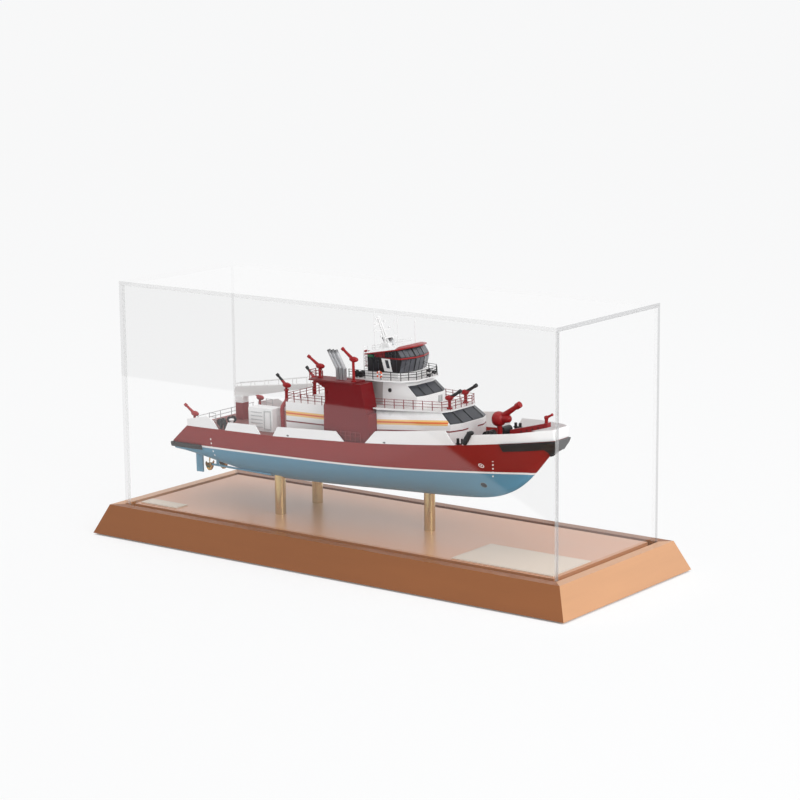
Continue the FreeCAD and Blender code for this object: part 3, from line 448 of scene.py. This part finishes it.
def screw_blade(shape, hub, angle, hand):
    """One cast blade: an ear-shaped sheet, twisted along its length, thick in the middle.
    The hand is 1 or -1, for a screw that drives when it turns one way or the other."""
    spokes, chords = 7, 5
    loops = []
    for spoke in range(spokes):
        share = spoke / (spokes - 1)
        radius = BLADE_ROOT + (BLADE_REACH - BLADE_ROOT) * share
        twist = math.atan2(SCREW_PITCH, 2 * math.pi * radius)
        half = 0.7 + 5.2 * math.sin(math.pi * (0.05 + 0.85 * share)) ** 0.8
        loop = []
        for face in (1, -1):
            for chord in range(chords) if face == 1 else range(chords - 2, 0, -1):
                across = 2 * chord / (chords - 1) - 1
                swell = face * 0.45 * (1 - across * across) * (1.1 - share)
                sweep = angle + half * across * math.cos(twist) / radius * 0.8
                along = hand * half * across * math.sin(twist) + swell
                spot = Vector((along, radius * math.sin(sweep), radius * math.cos(sweep)))
                loop.append(shape.verts.new(Vector(hub) + spot))
        loops.append(loop)
    skin(shape, loops)


screws = bmesh.new()
for y, level in SCREWS:
    turned(screws, (HUB_AFT, y, level), (1, 0, 0), SCREW_HUB, 20)
    for quarter in range(4):
        screw_blade(screws, (BLADES_AT, y, level), math.radians(90 * quarter), math.copysign(1, y))
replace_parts(fitting("cast_screws", screw_brass, screws), "propellers")
dress(sprayed("bottom_blue", hull_blue, rough=0.4, drift=0.04), "shafts", "rudders")

# Main and after houses: white-painted boxes with faceted fronts. A yellow band with an
# orange core and a thin dark red line run along the sides, and dark panes are glued to a
# black strip across the front.
stripe_yellow = tint(240, 196, 122)
stripe_orange = tint(222, 104, 48)
line_red = tint(128, 40, 44)
BAND_LEVEL, LINE_LEVEL, STRIPE_CLIMB, BAND_END = 84.6, 75.2, 0.043, 121
MAIN_STRIP = (88.6, 99.6)


def house_stripes(coat):
    along, across, height = ship_lines(coat)
    ahead, aside, up = facing(coat)
    climb = along.larger(0) * STRIPE_CLIMB
    off_band, off_line = abs(height - BAND_LEVEL - climb), abs(height - LINE_LEVEL - climb)
    banded = along.below(BAND_END, 0.4) * abs(aside).above(0.8, 0.05)
    lined = abs(across).above(9, 0.4) * abs(up).below(0.7, 0.1)
    return [
        (off_band.below(2.9, 0.3) * banded, stripe_yellow),
        (off_band.below(0.9, 0.3) * banded, stripe_orange),
        (off_line.below(0.8, 0.2) * lined, line_red),
        (height.between(*MAIN_STRIP, 0.15) * ahead.above(0.2, 0.05), black),
    ]


dress(sprayed("house_white", white, house_stripes, rough=0.34, drift=0.02), "main_house", "aft_house")
glazing = sprayed("glazing", tint(62, 64, 70), rough=0.3, drift=0.12, peel=0.01, Specular_IOR_Level=0.35)
dress(glazing, "main_house_panes", "upper_house_panes")


# Boat deck and bridge deck: thin boards on top of the houses, white at the edge, with a
# pale gritty tread on top.
def tread_marks(coat):
    ahead, aside, up = facing(coat)
    return [(up.above(0.7, 0.1), tint(218, 215, 214))]


tread_white = sprayed("deck_edge_white", white, tread_marks, rough=0.5, drift=0.03, peel=0.15)
dress(tread_white, "boat_deck", "bridge_deck")

# Upper house: a white-painted box on the boat deck, with painted shade in grey at the after
# end of each side, where casing and bridge deck shade it, and a black strip for the front windows.
PAINTED_SHADE_END = 28.4
UPPER_STRIP = (114.3, 125.0)


def upper_marks(coat):
    along, across, height = ship_lines(coat)
    ahead, aside, up = facing(coat)
    return [
        # Painted shade: the after end of each side wall is greyed where the casing and bridge deck shade it.
        (along.below(PAINTED_SHADE_END, 0.3) * abs(aside).above(0.7, 0.1), tint(176, 168, 167)),
        (height.between(*UPPER_STRIP, 0.15) * ahead.above(0.2, 0.05), black),
    ]


dress(sprayed("upper_house_white", white, upper_marks, rough=0.34, drift=0.02), "upper_house")

# Portholes and vent: a turned rim with dark glass in each side of the upper house, and a
# small louvred vent box low on its front.
rims = bmesh.new()
RIM = [(0, 2.3), (1.1, 2.3), (1.4, 2.0), (1.4, 1.7), (0.9, 1.6)]
for side in (-1, 1):
    turned(rims, (38, side * 28.2, 119.1), (0.068, side, 0), RIM, 24)
fitting("portholes", gear_black, rims)


def frame_strip(shape, outer, inner, way, thick):
    """A flat frame between two loops of corners, raised along one way."""
    lift = Vector(way) * thick
    loops = []
    for loop, rise in ((outer, 0), (outer, 1), (inner, 1), (inner, 0)):
        loops.append([shape.verts.new(Vector(corner) + lift * rise) for corner in loop])
    skin(shape, loops, ring=True)


def oblong(left, low, right, high):
    return (left, low), (right, low), (right, high), (left, high)


VENT_FACE = 77.5
vent = bmesh.new()
outer = [(VENT_FACE, y, z) for y, z in oblong(8.2, 103.6, 14.6, 111)]
inner = [(VENT_FACE, y, z) for y, z in oblong(9, 104.4, 13.8, 110.2)]
frame_strip(vent, outer, inner, (1, 0, 0), 1.4)
for slat in range(4):
    level = 105.3 + 1.35 * slat
    bar(vent, (VENT_FACE + 0.7, 8.8, level), (VENT_FACE + 0.7, 14.0, level), 0.7)
vent_grey = sprayed("vent_grey", tint(190, 192, 192), rough=0.42, drift=0.06)
fitting("front_vent", vent_grey, vent)


# Wheelhouse: white below, black round both rows of windows, with a dark red panel high on
# each side, a red line along the knuckle and a roof that rises forward, red at its edge and
# white on top of its after part.
panel_red = tint(112, 18, 24)
WINDOW_FOOT, KNUCKLE, PANEL_FORE, ROOF_WHITE_END = 138.6, (154.0, 155.6), 31, 46


def side_panel(coat):
    along, across, height = ship_lines(coat)
    ahead, aside, up = facing(coat)
    return along.between(16.5, PANEL_FORE, 0.6) * height.above(155.0, 0.2) * abs(aside).above(0.7, 0.1)


def wheelhouse_marks(coat):
    along, across, height = ship_lines(coat)
    return [
        (height.above(WINDOW_FOOT, 0.15), black),
        (side_panel(coat), panel_red),
        (height.between(*KNUCKLE, 0.2) * along.above(PANEL_FORE, 0.4), red),
    ]


def side_glass(coat):
    ahead, aside, up = facing(coat)
    return [(abs(aside).above(0.9, 0.02), tint(30, 31, 35)), (side_panel(coat), panel_red)]


def roof_marks(coat):
    along, across, height = ship_lines(coat)
    ahead, aside, up = facing(coat)
    return [(up.above(0.7, 0.1) * along.below(ROOF_WHITE_END, 0.5), white)]


dress(sprayed("wheelhouse_paint", white, wheelhouse_marks, rough=0.34, drift=0.02), "wheelhouse")
dress(sprayed("wheelhouse_glass", tint(84, 86, 92), side_glass, rough=0.28, drift=0.12, peel=0.01,
              Coat_Weight=0.2, Coat_Roughness=0.1), "wheelhouse_panes")
dress(sprayed("roof_red", red, roof_marks, rough=0.32, drift=0.04), "wheelhouse_roof")


# Wheelhouse doors and side lights: a raked white door with a dark light in each side, and
# a small lamp box under the eave, green to starboard and red to port.
def on_wall(y, *spots):
    """Corners on a wall that runs fore and aft, from their places along and up."""
    return [(x, y, z) for x, z in spots]


WHEELHOUSE_WALL = 26.45
doors = bmesh.new()
door_glass = bmesh.new()
for side in (-1, 1):
    wall = side * WHEELHOUSE_WALL
    outer = on_wall(wall, (29.9, 139.8), (41, 139.8), (37.4, 153.9), (26, 153.9))
    inner = on_wall(wall, (33.2, 143.4), (38, 143.4), (35.4, 152.6), (30.6, 152.6))
    frame_strip(doors, outer, inner, (0, side, 0), 0.95)
    seat = on_wall(wall, (32.9, 143), (38.4, 143), (35.7, 153), (30.2, 153))
    middle = on_wall(wall, *oblong(35.4, 147.9, 35.6, 148.1))
    frame_strip(door_glass, seat, middle, (0, side, 0), 0.7)
fitting("wheelhouse_doors", gloss_white, doors)
fitting("door_lights", glazing, door_glass)
for word, side, glow in (("starboard", -1, tint(18, 96, 60)), ("port", 1, tint(150, 24, 26))):
    lamp_box = bmesh.new()
    wall = side * WHEELHOUSE_WALL
    outer = on_wall(wall, *oblong(7.4, 154.6, 14.6, 157.2))
    lens = on_wall(wall + side * 0.4, *oblong(10.8, 155.7, 11.2, 156.1))
    frame_strip(lamp_box, outer, lens, (0, side, 0), 1.5)
    lamp_paint = sprayed("side_light_" + word, glow, rough=0.25, drift=0.1, Coat_Weight=0.3)
    fitting("side_light_" + word, lamp_paint, lamp_box)

# Ladder: soldered white wire. It stands off the wheelhouse's after wall on four short
# brackets and runs up past the roof.
BRIDGE_LEVEL, LADDER_HEAD, LADDER_OFF, WALL_AFT = 131.6, 166.5, 0.5, 6.2
STILES = (-26.2, -19.0)
ladder = bmesh.new()
for y in STILES:
    bar(ladder, (LADDER_OFF, y, BRIDGE_LEVEL), (LADDER_OFF, y, LADDER_HEAD), 1.0)
    for level in (137.0, 152.0):
        bar(ladder, (LADDER_OFF, y, level), (WALL_AFT, y, level), 0.8)
for rung in range(11):
    level = BRIDGE_LEVEL + 2 + 3.1 * rung
    bar(ladder, (LADDER_OFF, STILES[0], level), (LADDER_OFF, STILES[1], level), 0.8)
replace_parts(fitting("wire_ladder", gloss_white, ladder), "ladder")


# Roof rails: two white wires on short posts, soldered, round the after end of the
# wheelhouse's roof.
def roof_level(x):
    """The height of the roof's top at a place along the ship."""
    return 159.8 + 0.17 * x


roof_rails = bmesh.new()
RAIL_CORNERS = [(32, -21), (9, -21), (9, 21), (32, 21)]
for (x, y), (next_x, next_y) in zip(RAIL_CORNERS, RAIL_CORNERS[1:]):
    for lift in (2.6, 5.2):
        bar(roof_rails, (x, y, roof_level(x) + lift), (next_x, next_y, roof_level(next_x) + lift), 0.6)
for x, y in RAIL_CORNERS + [(20.5, -21), (20.5, 21), (9, -7), (9, 7)]:
    foot = roof_level(x) - 0.4
    bar(roof_rails, (x, y, foot), (x, y, foot + 5.8), 0.7)
fitting("roof_rails", gloss_white, roof_rails)

# Mast and aerials: white-painted wire and tube, glued into the roof, with small turned
# lamps on the mast's arms.
dress(gloss_white, "mast", "whip_aerials")
LAMP_PLACES = [
    (7.4, -13.6, 181.6), (7.4, 13.6, 181.6), (4.6, -8.6, 188.6), (4.6, 8.6, 188.6), (10.2, -6, 174.6),
]
LAMP_FORM = [(0, 0.7), (0.4, 1.3), (1.6, 1.5), (2.4, 1.1), (2.8, 0.4)]
lamps = bmesh.new()
for lamp_foot in LAMP_PLACES:
    turned(lamps, lamp_foot, (0, 0, 1), LAMP_FORM, 14)
fitting("mast_lamps", gloss_white, lamps)

# Funnel casings: red-painted sheet, one each side of the main house, with a dark red
# platform on top that reaches aft over a knee.
gloss_red = sprayed("red_paint", red, rough=0.3, drift=0.04, Specular_IOR_Level=0.3)
casing_red = sprayed("casing_red", tint(114, 8, 16), rough=0.3, drift=0.04, Specular_IOR_Level=0.2)
dress(casing_red, "casing_starboard", "casing_port")
dress(sprayed("tread_red", panel_red, rough=0.55, drift=0.06, peel=0.2), "casing_platforms")
KNEE_FACE = 61.2
knees = bmesh.new()
for side in (-1, 1):
    outer = on_wall(side * KNEE_FACE, (-45, 128.9), (-20.3, 128.9), (-24.6, 118.5))
    core = on_wall(side * KNEE_FACE, (-31.4, 125.6), (-29, 125.6), (-29.4, 124.6))
    frame_strip(knees, outer, core, (0, -side, 0), 1.6)
fitting("platform_knees", casing_red, knees)


# Exhausts: three silver pipes on each casing, bent from tube and glued into its top, with
# soot at the mouth.
def soot(coat):
    along, across, height = ship_lines(coat)
    return [(height.above(161.0, 3.0) * 0.75, tint(40, 38, 38))]


silver = sprayed("exhaust_silver", tint(196, 197, 200), soot, rough=0.34, drift=0.05, Metallic=0.85)
dress(silver, "exhausts")

# Railings: soldered wire, dark red round the boat deck and the after house, black round
# the bridge.
dress(sprayed("rail_red", tint(132, 34, 38), rough=0.4, drift=0.08), "boat_deck_railing", "after_railings")
dress(sprayed("rail_black", black, rough=0.4, drift=0.1), "bridge_railing")

# Life ring: an orange ring with four white bands, cast in resin and hung outside the bridge
# rail to starboard.
RING_MIDDLE = Vector((32.2, -39.7, 138.1))


def ring_bands(coat):
    along, across, height = ship_lines(coat)
    off_band = abs(along - RING_MIDDLE.x).smaller(abs(height - RING_MIDDLE.z))
    return [(off_band.below(0.9, 0.2), white)]


ring = bmesh.new()
turns, sections = 28, 10
loops = []
for turn_step in range(turns):
    angle = 2 * math.pi * turn_step / turns
    spoke = Vector((math.cos(angle), 0, math.sin(angle)))
    loop = []
    for section in range(sections):
        bend = 2 * math.pi * section / sections
        reach = spoke * (3.1 + 1.0 * math.cos(bend)) + Vector((0, 1.0 * math.sin(bend), 0))
        loop.append(ring.verts.new(RING_MIDDLE + reach))
    loops.append(loop)
skin(ring, loops, ring=True)
ring_orange = sprayed("ring_orange", tint(214, 84, 40), ring_bands, rough=0.5, drift=0.05)
fitting("life_ring", ring_orange, ring)

# Searchlights: three black turned lamps with hollow fronts, clamped to the front posts of
# the bridge rail.
LIGHT_DRUM = [(0, 0.8), (0.3, 1.5), (2.4, 2.0), (3.0, 2.3), (3.3, 2.1), (3.3, 1.8), (2.9, 1.7)]
lights = bmesh.new()
for y, level in ((0, 139.9), (9.7, 136.6), (0, 134.6)):
    turned(lights, (69.6, y, level), (1, 0, -0.06), LIGHT_DRUM)
    bar(lights, (68.6, y, level), (70.4, y, level), 1.3)
fitting("searchlights", gear_black, lights)

# Hose reels: two black turned reels on short feet, glued to the after end of the bridge
# deck.
REEL = [(0, 1.2), (0, 3.6), (0.7, 3.6), (0.7, 3.0), (4.3, 3.0), (4.3, 3.6), (5, 3.6)]
reels = bmesh.new()
for x in (-6.2, 1.4):
    turned(reels, (x, -35.2, 135.3), (0, 1, 0), REEL)
    bar(reels, (x, -32.7, BRIDGE_LEVEL), (x, -32.7, 135.3), 2.4)
fitting("hose_reels", gear_black, reels)


# Water pipes: red-painted tube with a flange at the foot. The starboard pipe abaft the house
# is bent inwards a little above its middle, and the other three stand straight.
def bent_pipe(shape, path, radii, steps=16):
    """A pipe through a row of points, each with its own radius."""
    spots = [Vector(spot) for spot in path]
    loops = []
    for index, (spot, radius) in enumerate(zip(spots, radii)):
        way = spots[min(index + 1, len(spots) - 1)] - spots[max(index - 1, 0)]
        place = Matrix.Translation(spot) @ way.to_track_quat("Z", "Y").to_matrix().to_4x4()
        loops.append([shape.verts.new(place @ point) for point in circle(radius, 0, steps)])
    skin(shape, loops)


DECK_LEVEL = 60
pipes = bmesh.new()
BEND_X, BEND_Y, BEND_FOOT, BEND_STEPS = -107, -43.5, 88, 8
bent = [(BEND_X, BEND_Y, level) for level in (DECK_LEVEL, 61.2, 61.2, BEND_FOOT)]
for step in range(1, BEND_STEPS):
    ease = (1 - math.cos(math.pi * step / BEND_STEPS)) / 2
    bent.append((BEND_X + 4 * ease, BEND_Y + 3.5 * ease, BEND_FOOT + 1.5 * step))
bent += [(-103, -40, 100), (-103, -40, 109)]
narrowing = [2.6 - 0.06 * step for step in range(1, BEND_STEPS)]
bent_pipe(pipes, bent, [4, 4, 2.7, 2.7] + narrowing + [2.1, 2.0])
turned(pipes, (-105, 14, DECK_LEVEL), (0, 0, 1), [(0, 3.6), (1.2, 3.6), (1.2, 2.0), (49, 2.0)])
for side in (-1, 1):
    turned(pipes, (-41, side * 44, 97.5), (0, 0, 1), [(0, 3.2), (1, 3.2), (1, 2.0), (31.5, 2.0)])
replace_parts(fitting("water_pipes", gloss_red, pipes), "riser_pipes")


# Water cannons: turned and soldered brass under red gloss. Each has a round gear case at its
# swivel, and some have black barrels.
def black_above(level):
    def barrels(coat):
        along, across, height = ship_lines(coat)
        return [(height.above(level, 0.3), black)]

    return barrels


dress(gloss_red, "cannon_foredeck", "cannons_platform", "cannons_stern")
dress(sprayed("boat_cannon_red", red, black_above(117.0), rough=0.32, drift=0.04), "cannons_boat_deck")
dress(sprayed("riser_cannon_red", red, black_above(120.8), rough=0.32, drift=0.04), "cannons_riser")
CASES = [
    (-43, -52, 143.8, 190), (-43, 52, 144.2, 170), (8.5, -56, 155.8, 190), (8.5, 56, 148.8, 170),
    (-103, -40, 115.2, 186), (-105, 14, 115.2, 174), (-228.5, -59.5, 74.2, 180), (-228.5, 59.5, 74.2, 180),
    (109.8, -15, 114.1, -8), (104, 23.5, 114.1, -8),
]
EGG_STEPS = (-0.999, -0.94, -0.8, -0.5, 0, 0.5, 0.8, 0.94, 0.999)
EGG = [(5.6 * step, 3.2 * math.sqrt(1.001 - step * step)) for step in EGG_STEPS]
DOME = [(85.5, 3.4), (87, 6.0), (89.5, 7.6), (92, 8.0), (95.5, 7.8), (98.5, 6.4), (100.6, 4.4), (101.6, 1.8)]
BREECH = [(0, 4.6), (8, 4.6), (11, 4.2), (12.6, 3.0), (13.2, 1.2)]
cases = bmesh.new()
for x, y, level, yaw in CASES:
    way = Vector((math.cos(math.radians(yaw)), math.sin(math.radians(yaw)), 0.06))
    turned(cases, Vector((x, y, level)) - way * 0.8, way, EGG)
turned(cases, (165, 0, 0), (0, 0, 1), DOME, 26)
turned(cases, (168, 0, 93.5), (1, 0, 0.1), BREECH, 20)
fitting("cannon_gear_cases", gloss_red, cases)

# Crane: a pedestal, red below and white above, with a pale grey boom and a wire hand rail
# along each of its upper edges.
PEDESTAL_WHITE = 80.4


def pedestal_marks(coat):
    along, across, height = ship_lines(coat)
    return [(height.above(PEDESTAL_WHITE, 0.2), white)]


dress(sprayed("pedestal_red", tint(138, 30, 32), pedestal_marks, rough=0.36, drift=0.04), "crane_pedestal")
boom_grey = sprayed("boom_grey", tint(234, 234, 233), rough=0.4, drift=0.03)
dress(boom_grey, "crane_boom")
hand_rails = bmesh.new()
for y in (-3.5, 3.5):
    bar(hand_rails, (-211, y, 102.9), (-101, y, 118.6), 0.8)
    for post in range(6):
        x = -209 + 21.4 * post
        foot = 99.2 + 0.107 * (x + 210)
        head = 103.2 + 0.1427 * (x + 209)
        bar(hand_rails, (x, y, foot), (x, y, head), 0.8)
fitting("crane_hand_rails", boom_grey, hand_rails)

# Deck locker: a white box on the after deck to starboard, with pale grey louvres and a
# framed door in its outer side.
dress(gloss_white, "deck_locker")
LOCKER_SIDE, LOUVRE_FACE = -49.95, -50.1
louvres = bmesh.new()
for slat in range(5):
    level = 65 + 4.2 * slat
    bar(louvres, (-149.5, LOUVRE_FACE, level), (-132, LOUVRE_FACE, level), 1.1)
outer = on_wall(LOCKER_SIDE, *oblong(-129.5, 62.5, -119, 84.5))
inner = on_wall(LOCKER_SIDE, *oblong(-128.2, 63.8, -120.3, 83.2))
frame_strip(louvres, outer, inner, (0, -1, 0), 0.8)
fitting("locker_louvres", vent_grey, louvres)

# Mooring gear: a black windlass and bitts, a white turned capstan and a black winch of two
# drums, all glued to the deck.
dress(gear_black, "windlass", "bitts")
CAPSTAN = [(0, 3.4), (1, 3.4), (1.6, 2.2), (4.5, 2.0), (6.5, 2.4), (7.5, 3.2), (8.5, 3.2), (9.2, 2.4)]
capstan = bmesh.new()
turned(capstan, (-184, -45, DECK_LEVEL), (0, 0, 1), CAPSTAN)
fitting("capstan", gloss_white, capstan)
WINCH_DRUM = [(0, 4.2), (1, 4.2), (1.05, 2.6), (6.5, 2.6), (6.55, 4.2), (7.5, 4.2)]
winch = bmesh.new()
for y in (-56, -38):
    turned(winch, (-193, y, 66), (0, 1, 0), WINCH_DRUM)
    bar(winch, (-193, y + 3.7, DECK_LEVEL), (-193, y + 3.7, 66), 3.2)
fitting("stern_winch", gear_black, winch)

# Stern rails: grey soldered wire, a low rail across the stern and a short higher one at
# each side by the winch.
STERN_RAIL, SIDE_RAIL = -231.5, 52
stern_rails = bmesh.new()
for level in (64.8, 69.4):
    bar(stern_rails, (STERN_RAIL, -SIDE_RAIL, level), (STERN_RAIL, SIDE_RAIL, level), 0.8)
for post in range(6):
    y = -50 + 20 * post
    bar(stern_rails, (STERN_RAIL, y, DECK_LEVEL), (STERN_RAIL, y, 69.6), 0.9)
for side in (-SIDE_RAIL, SIDE_RAIL):
    for x in (-212, -202):
        bar(stern_rails, (x, side, DECK_LEVEL), (x, side, 75.6), 0.9)
    for level in (66, 70.6, 75.2):
        bar(stern_rails, (-212.3, side, level), (-201.7, side, level), 0.8)
fitting("stern_rails", vent_grey, stern_rails)

# Bow boom: a red bracket that reaches over the stem, with lightening holes along its
# sides painted as dark red discs of shade, carrying a small turned cannon at its tip.
HOLES_FROM, HOLES_TO, HOLES_A_MM, HOLE_GAP, BOOM_RISE = 193, 226, 0.135, 7.4, 0.268


def boom_holes(coat):
    along, across, height = ship_lines(coat)
    ahead, aside, up = facing(coat)
    off_line = height - 79.6 - (along - 186) * BOOM_RISE
    off_hole = ((along - HOLES_FROM) * HOLES_A_MM).fraction() - 0.5
    hole = away(off_hole * HOLE_GAP, off_line).below(1.15, 0.2) * along.between(HOLES_FROM, HOLES_TO, 0.2)
    # Painted shade: each hole is a dark red disc that stands for the shade inside it.
    return [(hole * abs(aside).above(0.7, 0.1), tint(66, 14, 16))]


dress(sprayed("bow_boom_red", red, boom_holes, rough=0.32, drift=0.04), "bow_boom")
TIP_STAND = [(0, 2.6), (1, 2.6), (1.4, 1.9), (5, 1.9), (6.6, 2.5), (8, 2.0), (8.8, 0.8)]
TIP_BARREL = [(0, 1.4), (0.8, 2.4), (3, 2.4), (4, 1.6), (9, 1.2), (10.4, 1.6), (11.2, 1.6), (11.2, 1.0)]
tip_cannon = bmesh.new()
turned(tip_cannon, (227.6, 0, 93), (0, 0, 1), TIP_STAND)
turned(tip_cannon, (225.8, 0, 99.2), (1, 0, 0.52), TIP_BARREL)
fitting("bow_boom_cannon", gloss_red, tip_cannon)


# Cover: five bonded sheets of clear acrylic. Their outer faces mirror the room a little,
# and their sawn and polished edges show as milky lines; the edges that face the bow end
# are greyer, which is painted shade.
def clear_sheet(name, broad_way):
    """The finish of a sheet whose broad faces look along one axis."""
    finish = bpy.data.materials.new(name)
    finish.use_nodes = True
    clear = Wire(finish.node_tree)
    shader = finish.node_tree.nodes["Principled BSDF"]
    axis = "XYZ".index(broad_way)
    ways = facing(clear)
    place = clear.add("ShaderNodeTexCoord", out="Object").split()[axis]
    broad = abs(ways[axis]).above(0.5, 0.2)
    shine = clear.add("ShaderNodeFresnel", sockets={"IOR": 1.49})
    behind = clear.add("ShaderNodeNewGeometry", out="Backfacing")
    outer = (ways[axis] * place).above(0.03, 0.02) * (1 - behind)
    mirror, sawn, edge_painted_shade = (0.96, 0.96, 0.965, 1), (0.7, 0.7, 0.7, 1), (0.27, 0.27, 0.28, 1)
    # Painted shade: edges that face the bow end get a darker grey than the others.
    edges = ways[0].above(0.5, 0.2).shade(sawn, edge_painted_shade)
    broad.shade(edges, mirror).to(shader.inputs["Base Color"])
    broad.to(shader.inputs["Metallic"])
    (0.3 - 0.28 * broad).to(shader.inputs["Roughness"])
    mirrored = broad * shine * outer * 1.7
    milky = (1 - broad) * (0.42 - 0.28 * behind)
    (mirrored + milky).to(shader.inputs["Alpha"])
    return finish


dress(clear_sheet("acrylic_long", "Y"), "cover_front", "cover_back")
dress(clear_sheet("acrylic_short", "X"), "cover_left", "cover_right")
dress(clear_sheet("acrylic_top", "Z"), "cover_top")
